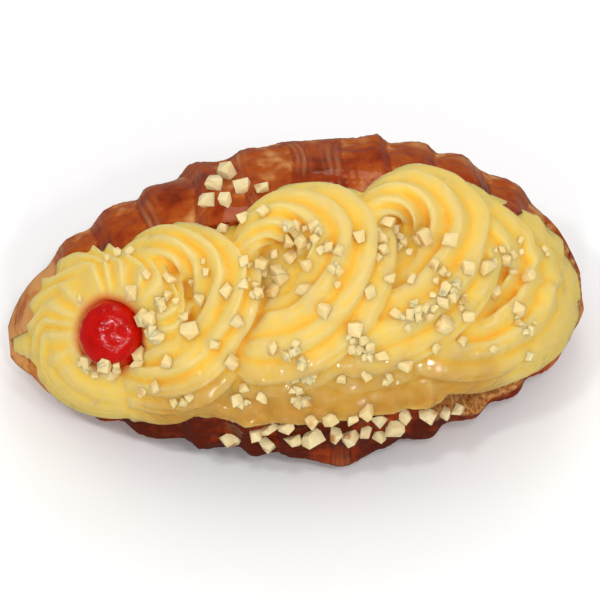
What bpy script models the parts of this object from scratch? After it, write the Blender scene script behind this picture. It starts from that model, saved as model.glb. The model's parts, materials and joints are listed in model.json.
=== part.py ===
"""Cream-filled croissant: a baked croissant split along its front, piped with a ribbed custard rope,
with a candied cherry on the last swirl and chopped nuts over the cream and the crust.

X runs along the croissant, Y from the open front to the back, Z up. The base rests on Z = 0.
The opening faces the front and upwards. Places on it are given as x, along the croissant, up, across the
opening towards the lid, and out, straight out of the opening, from the middle of the croissant's section.
"""

import math
import random
from collections import namedtuple

import bmesh
import bpy
from mathutils import Vector, noise
from mathutils.bvhtree import BVHTree

MM = 0.001
GAP = 0.3 * MM

# Croissant: half sizes of the middle section, and how they fall off towards the tips
HALF_LENGTH = 87 * MM
HALF_WIDTH = 47 * MM
HALF_HEIGHT = 40 * MM
MIDDLE_Y = 1.4 * MM
MIDDLE_Z = 36 * MM
LEFT_TAPER = 1.6
RIGHT_TAPER = 2.3
TAPER_ROOT = 0.62
TIP_LIFT = 0.35
TIP_BEND = 9 * MM
BASE_SQUARENESS = 0.8
END_SHARE = 0.985
RELIEF_FADE = 2

# Rolled dough: the edge of each wrap steps down towards the tips, on a crust that waves and bubbles
WRAP_MIDDLE = 6.6 * MM
WRAP_START = 21.5 * MM
WRAP_PITCH = 14 * MM
WRAP_STEP = 2.2 * MM
WRAP_DROP_SHARE = 0.3
WRAP_FADE = (8 * MM, 16 * MM)
WAVE_HEIGHT = 1.6 * MM
WAVE_SIZE = 17 * MM
Bubble = namedtuple("Bubble", "x degrees height size")
BUBBLES = (Bubble(8 * MM, 218, 4 * MM, 8 * MM), Bubble(60 * MM, 452, 3 * MM, 8 * MM))

# Opening: the angles of the two rims round the section, from +Y over the top, and the bottom of the cut.
# Towards each tip a rim moves by a further angle, from the first place to the second one, measured along X.
RimMove = namedtuple("RimMove", "angle first second")
LID_RIM_ANGLE = 94
LID_LEFT = RimMove(28, 58 * MM, 80 * MM)
LID_RIGHT = RimMove(-34, 60 * MM, 78 * MM)
LIP_RIM_ANGLE = 178
LIP_LEFT = RimMove(15, 50 * MM, 70 * MM)
LIP_RIGHT = RimMove(20, 25 * MM, 50 * MM)
CUT_DEPTH = (-2 * MM, 4 * MM)
CUT_GROWTH = 1.5
LEAST_HALF_WIDTH = 5 * MM
OPENING_TILT = math.radians(50)
OPENING_UP = Vector((0, math.sin(OPENING_TILT), math.cos(OPENING_TILT)))
OPENING_OUT = Vector((0, -math.cos(OPENING_TILT), math.sin(OPENING_TILT)))

# Cream in the cut: how far it stays under the lid's rim, its share of the section at the left tip, in the
# middle and at the right tip, and where it spills over the lip
CORE_SETBACK = 4
CORE_SHARES = (0.82, 0.92, 0.62)
CORE_TIPS = (75 * MM, 30 * MM)
CORE_DEPTH = 4 * MM
SPILL_SHARE = 1.05
SPILL_ANGLE = 2
SPILL_MIDDLE = 2 * MM
SPILL_HALF = 46 * MM
SPILL_FADE = 18 * MM
SPILL_POWER = 3

# Piped rope: ribs round it, how they turn along a swirl, how far it sinks in and how high it stands
RIBS = 9
RIB_DEPTH = (0.36, 0.3)
RIB_FADE = (20, -70)
RIB_START = 0.45
RIB_START_DEPTH = 0.3
TWIST_RATE = 1
TWIST_FADE = 70
CUSP_ANGLE = 28
ROPE_HEIGHT = 13 * MM
ROPE_START_SHARE = 0.45
ROPE_END_SHARE = 0.65
ROPE_GROWTH = 1 / 3
ROPE_SINK = 4 * MM
END_POWER = 4
END_ROUNDING = 0.05
LEAST_END_SHARE = 0.002
SKIN_FLATTENING = 0.88
FLUTES = 21
FLUTE_DEPTH = 0.28
FLUTE_BEND = 1.5 * 360 / FLUTES
FLUTE_BEND_SHARE = 0.3
FLUTE_FADE = (0.4, 0.9)
FLUTE_START = (0.22, 0.345)
ROSETTE_ANGLES = (-4 * 360 / FLUTES, -23 * 360 / FLUTES)

# Swirls from the right tip to the left one, each lying on the one before. Squash flattens a swirl across
# the opening, and the eye is the radius that it leaves free. A reach is from the swirl's middle to the rope's
# outer edge: at the start, at side_share of the turn and at the end. The end gap is the share of the reach
# that the rope leaves free at its inner edge at the end, and twist_end is the angle where its ribs stop
# turning in.
Swirl = namedtuple(
    "Swirl",
    "x up squash eye start_angle end_angle start_reach side_reach end_reach side_share end_gap lift "
    "twist_end fluted",
)
SWIRLS = (
    Swirl(49 * MM, -2.5 * MM, 0.95, 3 * MM, 135, -140, 28 * MM, 36.5 * MM, 44 * MM, 0.6, 0.12, 0, 10, False),
    Swirl(26 * MM, 13 * MM, 1, 4 * MM, 170, -124, 14 * MM, 36 * MM, 54 * MM, 0.54, 0.12, 1 * MM, 10, False),
    Swirl(-9 * MM, 9 * MM, 1, 4.5 * MM, 175, -118, 13 * MM, 37 * MM, 42 * MM, 0.52, 0.12, 1.5 * MM, 10, False),
    Swirl(-40.5 * MM, 4 * MM, 1, 4 * MM, 150, -80, 17 * MM, 29 * MM, 32 * MM, 0.6, 0.2, 1 * MM, 10, False),
    Swirl(-55.5 * MM, -7 * MM, 1, 7 * MM, -2, -86, 38 * MM, 27 * MM, 27 * MM, 0.9, 0, 2 * MM, -60, False),
    Swirl(-55.5 * MM, -7 * MM, 1, 7 * MM, *ROSETTE_ANGLES, 25 * MM, 26.5 * MM, 15 * MM, 0.5, 0, 2 * MM, 10, True),
)
ROSETTE = SWIRLS[-1]

# Cherry and chopped nuts
CHERRY_RADIUS = 9.9 * MM
CHERRY_SINK = 1 * MM
CHERRY_FLATNESS = 0.88
DIMPLE_DEPTH = 0.22
DIMPLE_WIDTH = 0.35
NUT_SIZE = (2.4 * MM, 3.8 * MM)
NUT_SINK = 0.2
NUT_CLEARANCE = 0.6 * MM
NUT_CHIP = 0.45
NUT_UNEVENNESS = 0.14
NUT_TRIES = 30
NUT_FACING = 0.15
NUT_DROP = 90 * MM
SEED = 7

# Where the nuts lie: middle x and up, half width and half height of an oval, tilt, count and least spacing
NutZone = namedtuple("NutZone", "x up half_x half_up tilt count spacing")
NUT_ZONES = (
    NutZone(-18.5 * MM, 27.5 * MM, 9.5 * MM, 8.5 * MM, -10, 9, 4.4 * MM),
    NutZone(9 * MM, -38.5 * MM, 34 * MM, 4 * MM, 2, 24, 4.2 * MM),
    NutZone(-2 * MM, -6 * MM, 66 * MM, 22 * MM, 4, 56, 6.5 * MM),
)

CRUST_STATIONS = 46
CRUST_ARC_POINTS = 28
FACE_POINTS = 4
SWIRL_STEP_ANGLE = 13
FLUTED_POINTS = 16
CORE_STATIONS = 20
CORE_POINTS = 10


def smooth(value):
    """A soft step from 0 to 1."""
    value = min(1.0, max(0.0, value))
    return value * value * (3 - 2 * value)


def smooth_between(value, first, second):
    """A soft step from 0 at the first value to 1 at the second."""
    return smooth((value - first) / (second - first))


def taper(x):
    """The share of the middle section's size that is left at x."""
    share = min(END_SHARE, abs(x) / HALF_LENGTH)
    power = LEFT_TAPER if x < 0 else RIGHT_TAPER
    return (1 - share**power) ** TAPER_ROOT


def section_at(x):
    """Half width, half height and the centre's y and z of the croissant's section at x."""
    size = taper(x)
    centre_y = MIDDLE_Y + TIP_BEND * (x / HALF_LENGTH) ** 2
    centre_z = MIDDLE_Z * (TIP_LIFT + (1 - TIP_LIFT) * size)
    return HALF_WIDTH * size, HALF_HEIGHT * size, centre_y, centre_z


def lid_rim(x):
    """The angle round the section where the lid ends: the left tip closes, the right one gapes."""
    left = LID_LEFT.angle * smooth_between(-x, LID_LEFT.first, LID_LEFT.second)
    return LID_RIM_ANGLE + left + LID_RIGHT.angle * smooth_between(x, LID_RIGHT.first, LID_RIGHT.second)


def lip_rim(x):
    """The angle round the section where the lip begins: lowest near the tips."""
    left = LIP_LEFT.angle * smooth_between(-x, LIP_LEFT.first, LIP_LEFT.second)
    return LIP_RIM_ANGLE + left + LIP_RIGHT.angle * smooth_between(x, LIP_RIGHT.first, LIP_RIGHT.second)


def wrap_relief(x, degrees):
    """How far the rolled dough stands out at x and at that angle round the section."""
    turn = (abs(x - WRAP_MIDDLE) - WRAP_START) / WRAP_PITCH + (degrees - 90) / 360
    share = turn - math.floor(turn)
    rise = share / (1 - WRAP_DROP_SHARE)
    fall = (1 - share) / WRAP_DROP_SHARE
    fade = smooth((abs(x - WRAP_MIDDLE) - WRAP_FADE[0]) / WRAP_FADE[1])
    waves = WAVE_HEIGHT * noise.noise(Vector((x, math.radians(degrees) * HALF_WIDTH, 0)) / WAVE_SIZE)
    return (WRAP_STEP * (smooth(min(rise, fall)) - 0.5) * fade + waves) * smooth(taper(x) * RELIEF_FADE)


def bubble_relief(x, degrees):
    """The bubbles in the crust: one under the middle of the lip, one at the lid's right end."""
    total = 0
    for bubble in BUBBLES:
        aside = (x - bubble.x) / bubble.size
        around = math.radians(degrees - bubble.degrees) * HALF_WIDTH / bubble.size
        total += bubble.height * math.exp(-(aside**2) - around**2)
    return total


def skin_point(x, degrees, grow=0.0):
    """A point of the crust, flat underneath where the croissant rests."""
    half_width, half_height, centre_y, centre_z = section_at(x)
    relief = wrap_relief(x, degrees) + bubble_relief(x, degrees) + grow
    across = math.cos(math.radians(degrees))
    upward = math.sin(math.radians(degrees))
    if upward < 0:
        across = math.copysign(abs(across) ** BASE_SQUARENESS, across)
        upward = -(abs(upward) ** BASE_SQUARENESS)
    y = centre_y + (half_width + relief) * across
    z = centre_z + (half_height + relief) * upward
    return Vector((x, y, max(z, -grow)))


def cut_bottom(x, grow=0.0):
    """The line where the two cut faces meet inside the croissant."""
    size = taper(x)
    _, _, centre_y, centre_z = section_at(x)
    place = Vector((x, centre_y + CUT_DEPTH[0] * size, centre_z + CUT_DEPTH[1] * size))
    return place + OPENING_OUT * grow * CUT_GROWTH


def crust_ring(x, grow=0.0):
    """The outline of one slice: from the lip's rim under and behind to the lid's rim, and back by the cut."""
    half_width, _, _, _ = section_at(x)
    spread = math.degrees(grow / max(half_width, LEAST_HALF_WIDTH))
    first = lip_rim(x) - spread
    last = lid_rim(x) + 360 + spread
    steps = CRUST_ARC_POINTS - 1
    ring = [skin_point(x, first + (last - first) * k / steps, grow) for k in range(CRUST_ARC_POINTS)]
    lip, lid, bottom = ring[0], ring[-1], cut_bottom(x, grow)
    ring += [lid.lerp(bottom, k / FACE_POINTS) for k in range(1, FACE_POINTS + 1)]
    ring += [bottom.lerp(lip, k / FACE_POINTS) for k in range(1, FACE_POINTS)]
    return ring


def skin_out(x, up):
    """How far out the croissant's unbroken skin would lie over that place of the opening."""
    half_width, half_height, centre_y, centre_z = section_at(x)
    up *= SKIN_FLATTENING
    y = MIDDLE_Y - centre_y + up * OPENING_UP.y
    z = MIDDLE_Z - centre_z + up * OPENING_UP.z
    square = (OPENING_OUT.y / half_width) ** 2 + (OPENING_OUT.z / half_height) ** 2
    linear = 2 * (y * OPENING_OUT.y / half_width**2 + z * OPENING_OUT.z / half_height**2)
    rest = (y / half_width) ** 2 + (z / half_height) ** 2 - 1
    return (-linear + math.sqrt(max(0.0, linear**2 - 4 * square * rest))) / (2 * square)


def opening_point(x, up, out):
    """The point at that place of the opening."""
    return Vector((x, MIDDLE_Y, MIDDLE_Z)) + OPENING_UP * up + OPENING_OUT * out


def rib_twist(degrees, twist_end):
    """How far the ribs have turned round the rope: fast over a swirl's top, not at all below."""
    late = min(TWIST_FADE, max(0, twist_end - degrees))
    early = CUSP_ANGLE - max(twist_end, degrees)
    return math.radians(TWIST_RATE * (early + late - late * late / (2 * TWIST_FADE)))


def rope_sizes(swirl, share):
    """The rope's inner and outer reach and its height at that share of a swirl."""
    growth = min(1, share / swirl.side_share) ** 2
    late = max(0, share - swirl.side_share) / (1 - swirl.side_share)
    outer = swirl.start_reach + (swirl.side_reach - swirl.start_reach) * growth
    outer += (swirl.end_reach - swirl.side_reach) * late**END_POWER
    inner = swirl.eye + swirl.end_gap * smooth_between(share, 0.5, 1) * outer
    rise = ROPE_START_SHARE + (1 - ROPE_START_SHARE) * smooth_between(share, 0, ROPE_GROWTH)
    fall = 1 - (1 - ROPE_END_SHARE) * smooth_between(share, 1 - ROPE_GROWTH, 1)
    return inner, outer, ROPE_HEIGHT * rise * fall


def groove_at(swirl, degrees, share, turn, k):
    """How deep the rope's profile is at one point: its ribs, or the flutes across the last swirl."""
    if not swirl.fluted:
        depth = RIB_DEPTH[0] + (RIB_DEPTH[1] - RIB_DEPTH[0]) * smooth_between(degrees, *RIB_FADE)
        grown = RIB_START_DEPTH + (1 - RIB_START_DEPTH) * smooth_between(share, 0, RIB_START)
        return (k % 2) * depth * grown
    across = 0.5 - 0.5 * math.cos(turn)
    bend = FLUTE_BEND * smooth(across / FLUTE_BEND_SHARE)
    wave = math.pi * FLUTES * (degrees + bend) / 360
    flute = FLUTE_DEPTH * abs(math.sin(wave)) * (1 - smooth_between(across, *FLUTE_FADE))
    return flute * smooth_between(share, *FLUTE_START)


def swirl_ring(swirl, share):
    """One section of the rope, standing on a ray from the swirl's middle."""
    degrees = swirl.start_angle + (swirl.end_angle - swirl.start_angle) * share
    angle = math.radians(degrees)
    inner, outer, height = rope_sizes(swirl, share)
    end = min(1, max(LEAST_END_SHARE, min(share, 1 - share)) / END_ROUNDING)
    rounding = math.sqrt(1 - (1 - end) ** 2)
    count = FLUTED_POINTS if swirl.fluted else 2 * RIBS
    twist = 0 if swirl.fluted else rib_twist(degrees, swirl.twist_end)
    ring = []
    for k in range(count):
        turn = 2 * math.pi * k / count + twist
        size = (1 - groove_at(swirl, degrees, share, turn, k)) * rounding
        reach = inner + (0.5 + 0.5 * math.cos(turn) * size) * (outer - inner)
        x = swirl.x + reach * math.cos(angle)
        up = swirl.up + reach * math.sin(angle) * swirl.squash
        out = skin_out(x, up) - ROPE_SINK + swirl.lift + height * math.sin(turn) * size
        ring.append(opening_point(x, up, out))
    return ring


def core_ring(x):
    """A slice of the cream that fills the cut, from below its bottom out to just under the rope."""
    _, _, centre_y, centre_z = section_at(x)
    centre = Vector((x, centre_y, centre_z))
    steps = CORE_POINTS - 1
    spill = smooth((SPILL_HALF - abs(x - SPILL_MIDDLE)) / SPILL_FADE)
    first, last = lid_rim(x) - CORE_SETBACK, LIP_RIM_ANGLE + SPILL_ANGLE * spill
    tip_share = CORE_SHARES[0] if x < 0 else CORE_SHARES[2]
    share = tip_share + (CORE_SHARES[1] - tip_share) * smooth((CORE_TIPS[0] - abs(x)) / CORE_TIPS[1])
    rise = (SPILL_SHARE - share) * spill
    arc = [skin_point(x, first + (last - first) * k / steps) for k in range(CORE_POINTS)]
    shares = [share + rise * (k / steps) ** SPILL_POWER for k in range(CORE_POINTS)]
    inside = [centre + (point - centre) * part for point, part in zip(arc, shares)]
    return inside + [cut_bottom(x) - OPENING_OUT * CORE_DEPTH * taper(x)]


def loft(name, rings):
    """A closed solid through a row of rings of equal counts, with flat ends."""
    shape = bmesh.new()
    rows = [[shape.verts.new(point) for point in ring] for ring in rings]
    count = len(rings[0])
    for near, far in zip(rows, rows[1:]):
        for k in range(count):
            shape.faces.new((near[k], near[(k + 1) % count], far[(k + 1) % count], far[k]))
    for end in (rows[0], rows[-1]):
        middle = shape.verts.new(sum((v.co for v in end), Vector()) / count)
        for k in range(count):
            shape.faces.new((end[k], end[(k + 1) % count], middle))
    bmesh.ops.recalc_face_normals(shape, faces=shape.faces)
    bmesh.ops.triangulate(shape, faces=shape.faces)
    return add_object(name, shape)


def add_object(name, shape):
    """Makes an object of a finished bmesh."""
    mesh = bpy.data.meshes.new(name)
    shape.to_mesh(mesh)
    shape.free()
    made = bpy.data.objects.new(name, mesh)
    bpy.context.scene.collection.objects.link(made)
    return made


def lengthwise(count):
    """Places from tip to tip, closer together at the tips."""
    turns = [math.pi * k / (count - 1) for k in range(count)]
    return [-HALF_LENGTH * END_SHARE * math.cos(turn) for turn in turns]


def combine(target, tools, operation):
    """Joins the tools to the target, or cuts them out of it, and removes them."""
    together = bpy.data.collections.new("tools")
    bpy.context.scene.collection.children.link(together)
    for tool in tools:
        bpy.context.scene.collection.objects.unlink(tool)
        together.objects.link(tool)
    change = target.modifiers.new("combine", "BOOLEAN")
    change.operation = operation
    change.operand_type = "COLLECTION"
    change.collection = together
    change.solver = "EXACT"
    graph = bpy.context.evaluated_depsgraph_get()
    mesh = bpy.data.meshes.new_from_object(target.evaluated_get(graph))
    target.modifiers.clear()
    target.data = mesh
    for tool in tools:
        bpy.data.objects.remove(tool)
    bpy.data.collections.remove(together)


def keep_largest(target):
    """Keeps the largest shell of a mesh, without the scraps and sealed hollows that combining leaves."""
    shape = bmesh.new()
    shape.from_mesh(target.data)
    left = set(shape.verts)
    pieces = []
    while left:
        piece, edge = set(), [left.pop()]
        while edge:
            vertex = edge.pop()
            piece.add(vertex)
            near = [e.other_vert(vertex) for e in vertex.link_edges]
            edge += [v for v in near if v in left]
            left -= set(near)
        pieces.append(piece)
    largest = max(pieces, key=len)
    bmesh.ops.delete(shape, geom=[v for v in shape.verts if v not in largest], context="VERTS")
    shape.to_mesh(target.data)
    shape.free()


def cherry_solid(name, grow=0.0):
    """A candied cherry, a little flat, with the dimple of its stem."""
    radius = CHERRY_RADIUS + grow
    shape = bmesh.new()
    bmesh.ops.create_uvsphere(shape, u_segments=18, v_segments=10, radius=radius)
    for vertex in shape.verts:
        aside = math.hypot(vertex.co.x, vertex.co.y) / radius
        if vertex.co.z > 0:
            vertex.co.z -= DIMPLE_DEPTH * radius * math.exp(-((aside / DIMPLE_WIDTH) ** 2))
        vertex.co.z *= CHERRY_FLATNESS
    turn = Vector((0, 0, 1)).rotation_difference(OPENING_OUT).to_matrix().to_4x4()
    shape.transform(turn)
    out = skin_out(ROSETTE.x, ROSETTE.up) + ROPE_HEIGHT - ROPE_SINK - CHERRY_SINK
    bmesh.ops.translate(shape, verts=shape.verts, vec=opening_point(ROSETTE.x, ROSETTE.up, out - radius / 2))
    return add_object(name, shape)


def nut_places():
    """Seeded places of the nuts over the opening, kept apart, with a size for each."""
    draw = random.Random(SEED)
    places = []
    for zone in NUT_ZONES:
        tilt = math.radians(zone.tilt)
        found = []
        for _ in range(zone.count * NUT_TRIES):
            reach, turn = math.sqrt(draw.random()), draw.uniform(0, 2 * math.pi)
            along, across = reach * math.cos(turn) * zone.half_x, reach * math.sin(turn) * zone.half_up
            x = zone.x + along * math.cos(tilt) - across * math.sin(tilt)
            up = zone.up + along * math.sin(tilt) + across * math.cos(tilt)
            size = draw.uniform(*NUT_SIZE)
            near = [p for p in places + found if math.hypot(p[0] - x, p[1] - up) < zone.spacing]
            if not near and len(found) < zone.count:
                found.append((x, up, size))
        places += found
    return places


def nut_solid(place, size, draw):
    """A chopped nut: a small block with uneven sides and one corner cut off."""
    shape = bmesh.new()
    corners = [Vector((x, y, z)) * size / 2 for x in (-1, 1) for y in (-1, 1) for z in (-1, 1)]
    chipped = corners.pop()
    corners += [chipped - Vector([size * NUT_CHIP * (k == axis) for k in range(3)]) for axis in range(3)]
    turn = Vector([draw.uniform(-1, 1) for _ in range(3)]).to_track_quat("Z", "Y")
    for corner in corners:
        uneven = Vector([draw.uniform(-NUT_UNEVENNESS, NUT_UNEVENNESS) * size for _ in range(3)])
        shape.verts.new(place + turn @ (corner + uneven))
    hull = bmesh.ops.convex_hull(shape, input=shape.verts)
    bmesh.ops.delete(shape, geom=hull["geom_interior"], context="VERTS")
    bmesh.ops.recalc_face_normals(shape, faces=shape.faces)
    return add_object("nut", shape)


def tree_of(target):
    """A search tree of an object's mesh, whose place is in its vertices."""
    shape = bmesh.new()
    shape.from_mesh(target.data)
    tree = BVHTree.FromBMesh(shape)
    shape.free()
    return tree


def scatter_nuts(carriers, others):
    """Sinks each nut a little into the carrier that it lands on, where it stays clear of the other pieces."""
    draw = random.Random(SEED)
    trees = [tree_of(carrier) for carrier in carriers]
    clear_of = [tree_of(other) for other in others]
    landed = [[] for _ in carriers]
    for x, up, size in nut_places():
        start = opening_point(x, up, NUT_DROP)
        hits = [tree.ray_cast(start, -OPENING_OUT) for tree in trees]
        reached = [hit[3] if hit[0] else math.inf for hit in hits]
        first = reached.index(min(reached))
        place, normal, _, _ = hits[first]
        if place is None or normal.dot(OPENING_OUT) < NUT_FACING:
            continue
        centre = place + normal * size * (0.5 - NUT_SINK)
        neighbours = clear_of + [tree for tree in trees if tree is not trees[first]]
        if all(tree.find_nearest(centre)[3] > size + NUT_CLEARANCE for tree in neighbours):
            landed[first].append(nut_solid(centre, size, draw))
    for carrier, nuts in zip(carriers, landed):
        combine(carrier, nuts, "UNION")
        keep_largest(carrier)


def paint(target, colour, roughness):
    """Gives an object its plain material and soft shading."""
    material = bpy.data.materials.new(target.name)
    material.use_nodes = True
    surface = material.node_tree.nodes["Principled BSDF"]
    surface.inputs["Base Color"].default_value = (*colour, 1)
    surface.inputs["Roughness"].default_value = roughness
    surface.inputs["Metallic"].default_value = 0
    target.data.materials.clear()
    target.data.materials.append(material)
    target.data.shade_smooth()
    target.data.set_sharp_from_angle(angle=math.radians(50))


def make_croissant():
    """The split croissant in one piece, joined along its back."""
    return loft("croissant", [crust_ring(x) for x in lengthwise(CRUST_STATIONS)])


def make_cream():
    """The cream in the cut with the piped rope on it, clear of the crust and of the cherry."""
    cream = loft("cream", [core_ring(x) for x in lengthwise(CORE_STATIONS)[1:-1]])
    swirls = []
    for swirl in SWIRLS:
        step = 180 / FLUTES if swirl.fluted else SWIRL_STEP_ANGLE
        steps = round(abs(swirl.end_angle - swirl.start_angle) / step)
        swirls.append(loft("swirl", [swirl_ring(swirl, k / steps) for k in range(steps + 1)]))
    combine(cream, swirls, "UNION")
    crust = loft("crust_cutter", [crust_ring(x, GAP) for x in lengthwise(CRUST_STATIONS)])
    combine(cream, [crust, cherry_solid("cherry_cutter", GAP)], "DIFFERENCE")
    keep_largest(cream)
    return cream


def main():
    for old in list(bpy.data.objects):
        bpy.data.objects.remove(old)
    croissant = make_croissant()
    cream = make_cream()
    cherry = cherry_solid("cherry")
    scatter_nuts([croissant, cream], [cherry])
    paint(croissant, (0.45, 0.17, 0.05), 0.35)
    paint(cream, (0.93, 0.72, 0.27), 0.4)
    paint(cherry, (0.75, 0.02, 0.01), 0.15)


main()
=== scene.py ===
# %% [markdown]
# # A croissant split along its front and filled with piped custard cream
#
# The real thing is three things to a baker: a baked roll of laminated dough, a thick custard pushed
# through a star nozzle, and a candied cherry. Chopped nuts and a thin clear glaze come last. This lesson
# makes each of them in that order, round the solids that give the sizes and the places.
#
# The solids come in first.

# %% Load the solids
import json
import math
import random
from collections import namedtuple

import bmesh
import bpy
import numpy as np
from mathutils import Matrix, Vector, noise
from mathutils.bvhtree import BVHTree

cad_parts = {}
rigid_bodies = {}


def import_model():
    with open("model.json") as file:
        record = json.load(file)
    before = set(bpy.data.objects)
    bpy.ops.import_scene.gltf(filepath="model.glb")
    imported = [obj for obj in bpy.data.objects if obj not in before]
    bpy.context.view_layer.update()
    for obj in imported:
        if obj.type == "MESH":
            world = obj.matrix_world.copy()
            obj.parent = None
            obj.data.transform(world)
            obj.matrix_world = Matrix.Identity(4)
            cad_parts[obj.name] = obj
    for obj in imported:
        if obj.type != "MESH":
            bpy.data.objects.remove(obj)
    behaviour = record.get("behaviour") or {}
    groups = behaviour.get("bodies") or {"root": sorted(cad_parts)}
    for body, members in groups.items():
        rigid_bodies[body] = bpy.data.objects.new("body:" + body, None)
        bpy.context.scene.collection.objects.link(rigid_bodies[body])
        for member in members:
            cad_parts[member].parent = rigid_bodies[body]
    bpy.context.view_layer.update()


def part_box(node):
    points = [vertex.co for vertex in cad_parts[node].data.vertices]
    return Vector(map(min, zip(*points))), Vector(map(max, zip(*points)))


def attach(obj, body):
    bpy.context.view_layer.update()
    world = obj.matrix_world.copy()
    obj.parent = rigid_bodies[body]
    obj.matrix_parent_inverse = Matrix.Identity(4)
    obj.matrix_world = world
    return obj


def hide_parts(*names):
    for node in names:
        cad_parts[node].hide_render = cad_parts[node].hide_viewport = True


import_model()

MM = 0.001

# %% [markdown]
# ## The form that everything follows
#
# A croissant is fat in the middle and tapers to its tips. Each slice across it is close to an oval, so
# one function that gives the oval's half sizes and its centre at any place along the length is enough to
# wrap a sheet round. The opening looks forwards and up, and a place on it is easier to think of as it is
# seen: along the croissant, up towards the lid, and out towards the eye.

# %% Sizes of the roll
END_SHARE = 0.985
HALF_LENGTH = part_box("croissant")[1][0] / END_SHARE
HALF_WIDTH = 47 * MM
HALF_HEIGHT = 40 * MM
MIDDLE_Y = 1.4 * MM
MIDDLE_Z = 36 * MM
LEFT_TAPER = 1.6
RIGHT_TAPER = 2.3
TAPER_ROOT = 0.62
TIP_LIFT = 0.35
TIP_BEND = 9 * MM
BASE_SQUARENESS = 0.8
RimMove = namedtuple("RimMove", "angle first second")
LID_RIM_ANGLE = 94
LID_LEFT = RimMove(28, 58 * MM, 80 * MM)
LID_RIGHT = RimMove(-34, 60 * MM, 78 * MM)
LIP_RIM_ANGLE = 178
LIP_LEFT = RimMove(15, 50 * MM, 70 * MM)
LIP_RIGHT = RimMove(20, 25 * MM, 50 * MM)
CUT_DEPTH = (-2 * MM, 4 * MM)
OPENING_TILT = math.radians(50)
OPENING_UP = Vector((0, math.sin(OPENING_TILT), math.cos(OPENING_TILT)))
OPENING_OUT = Vector((0, -math.cos(OPENING_TILT), math.sin(OPENING_TILT)))
SKIN_FLATTENING = 0.88
print("half length", round(HALF_LENGTH / MM, 1), "mm")


# %% Slices of the roll
def smooth(value):
    """A soft step from 0 to 1."""
    value = min(1.0, max(0.0, value))
    return value * value * (3 - 2 * value)


def smooth_between(value, first, second):
    """A soft step from 0 at the first value to 1 at the second."""
    return smooth((value - first) / (second - first))


def taper(x):
    """The share of the middle slice's size that is left at x."""
    share = min(END_SHARE, abs(x) / HALF_LENGTH)
    power = LEFT_TAPER if x < 0 else RIGHT_TAPER
    return (1 - share**power) ** TAPER_ROOT


def section_at(x):
    """Half width, half height and the centre's y and z of the slice at x."""
    size = taper(x)
    centre_y = MIDDLE_Y + TIP_BEND * (x / HALF_LENGTH) ** 2
    centre_z = MIDDLE_Z * (TIP_LIFT + (1 - TIP_LIFT) * size)
    return HALF_WIDTH * size, HALF_HEIGHT * size, centre_y, centre_z


def lid_rim(x):
    """The angle round the slice where the lid ends: the left tip closes, the right one gapes."""
    left = LID_LEFT.angle * smooth_between(-x, LID_LEFT.first, LID_LEFT.second)
    return LID_RIM_ANGLE + left + LID_RIGHT.angle * smooth_between(x, LID_RIGHT.first, LID_RIGHT.second)


def lip_rim(x):
    """The angle round the slice where the lip begins: lowest near the tips."""
    left = LIP_LEFT.angle * smooth_between(-x, LIP_LEFT.first, LIP_LEFT.second)
    return LIP_RIM_ANGLE + left + LIP_RIGHT.angle * smooth_between(x, LIP_RIGHT.first, LIP_RIGHT.second)


def opening_point(x, up, out):
    """The point at that place of the opening."""
    return Vector((x, MIDDLE_Y, MIDDLE_Z)) + OPENING_UP * up + OPENING_OUT * out


def skin_out(x, up):
    """How far out the unbroken skin would lie over that place of the opening."""
    half_width, half_height, centre_y, centre_z = section_at(x)
    up *= SKIN_FLATTENING
    y = MIDDLE_Y - centre_y + up * OPENING_UP.y
    z = MIDDLE_Z - centre_z + up * OPENING_UP.z
    square = (OPENING_OUT.y / half_width) ** 2 + (OPENING_OUT.z / half_height) ** 2
    linear = 2 * (y * OPENING_OUT.y / half_width**2 + z * OPENING_OUT.z / half_height**2)
    rest = (y / half_width) ** 2 + (z / half_height) ** 2 - 1
    return (-linear + math.sqrt(max(0.0, linear**2 - 4 * square * rest))) / (2 * square)


print("middle slice", [round(v / MM, 1) for v in section_at(0)])

# %% [markdown]
# ## Bench helpers
#
# Every piece starts as a flat grid, the way that a baker starts with a flat sheet. The grid's points are
# then laid along a curve or round an oval, and its seam is merged.


# %% Helpers for sheets and modifiers
MERGE_DISTANCE = 0.0001 * MM


def deselect():
    """Leaves edit mode and deselects everything."""
    if bpy.context.object and bpy.context.object.mode != "OBJECT":
        bpy.ops.object.mode_set(mode="OBJECT")
    bpy.ops.object.select_all(action="DESELECT")


def pick(piece):
    """Selects one piece and makes it the active one."""
    deselect()
    piece.select_set(True)
    bpy.context.view_layer.objects.active = piece


def rolled_sheet(name, rings):
    """A tube from a flat grid: each row becomes one closed ring, and the two ends are filled."""
    rows, around = len(rings), len(rings[0])
    deselect()
    bpy.ops.mesh.primitive_grid_add(x_subdivisions=around, y_subdivisions=rows - 1, size=1)
    piece = bpy.context.object
    piece.name = name
    places = np.array([[*ring, ring[0]] for ring in rings], dtype=np.float32)
    piece.data.vertices.foreach_set("co", places.reshape(-1))
    bpy.ops.object.mode_set(mode="EDIT")
    bpy.ops.mesh.select_all(action="SELECT")
    bpy.ops.mesh.remove_doubles(threshold=MERGE_DISTANCE)
    bpy.ops.mesh.select_all(action="DESELECT")
    bpy.ops.mesh.select_non_manifold()
    bpy.ops.mesh.fill_holes(sides=0)
    bpy.ops.mesh.select_all(action="SELECT")
    bpy.ops.mesh.normals_make_consistent(inside=False)
    bpy.ops.object.mode_set(mode="OBJECT")
    return piece


def apply_modifier(piece, kind, **values):
    """Adds a modifier, sets its values and applies it."""
    pick(piece)
    bpy.ops.object.modifier_add(type=kind)
    modifier = piece.modifiers[-1]
    for key, value in values.items():
        setattr(modifier, key, value)
    bpy.ops.object.modifier_apply(modifier=modifier.name)


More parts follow.
